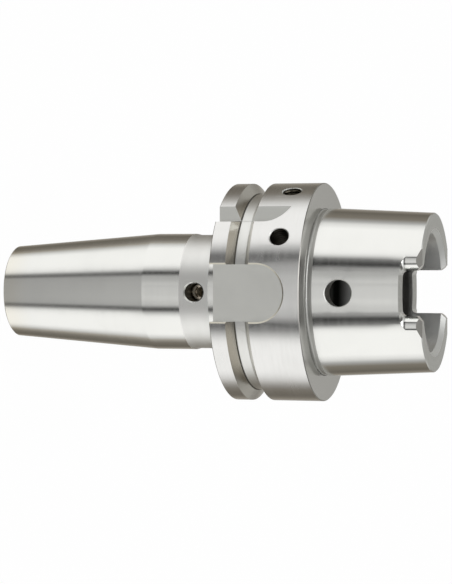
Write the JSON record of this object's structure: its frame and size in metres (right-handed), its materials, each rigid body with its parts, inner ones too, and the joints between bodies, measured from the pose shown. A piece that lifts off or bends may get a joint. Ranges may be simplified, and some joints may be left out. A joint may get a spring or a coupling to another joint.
{
  "type": "shrink fit tool holder",
  "caption": "Shrink fit tool holder: slender conical clamping nose, grooved flange with slots and an index notch, and a hollow taper shank with drive slots.",
  "frame": {"origin": "on the turning axis at the nose face, which the holder stands on", "axes": "+Z along the turning axis from the nose to the shank's end; -Y is the way the marked flat and the neck's lock screw face; -X is the index notch's side"},
  "size_m": [0.063, 0.063, 0.127],
  "materials": {
    "holder_steel": "turned and ground bright steel, lightly oiled",
    "screw_steel": "dark steel screws"
  },
  "bodies": {
    "holder": {"chuck_body": "holder_steel", "neck_set_screw": "screw_steel"},
    "stop": {"length_stop_screw": "screw_steel"}
  },
  "joints": [
    {"name": "stop_travel", "type": "slide", "parent": "holder", "child": "stop", "axis": [0, 0, -1], "range_m": [0, 0.01]}
  ]
}
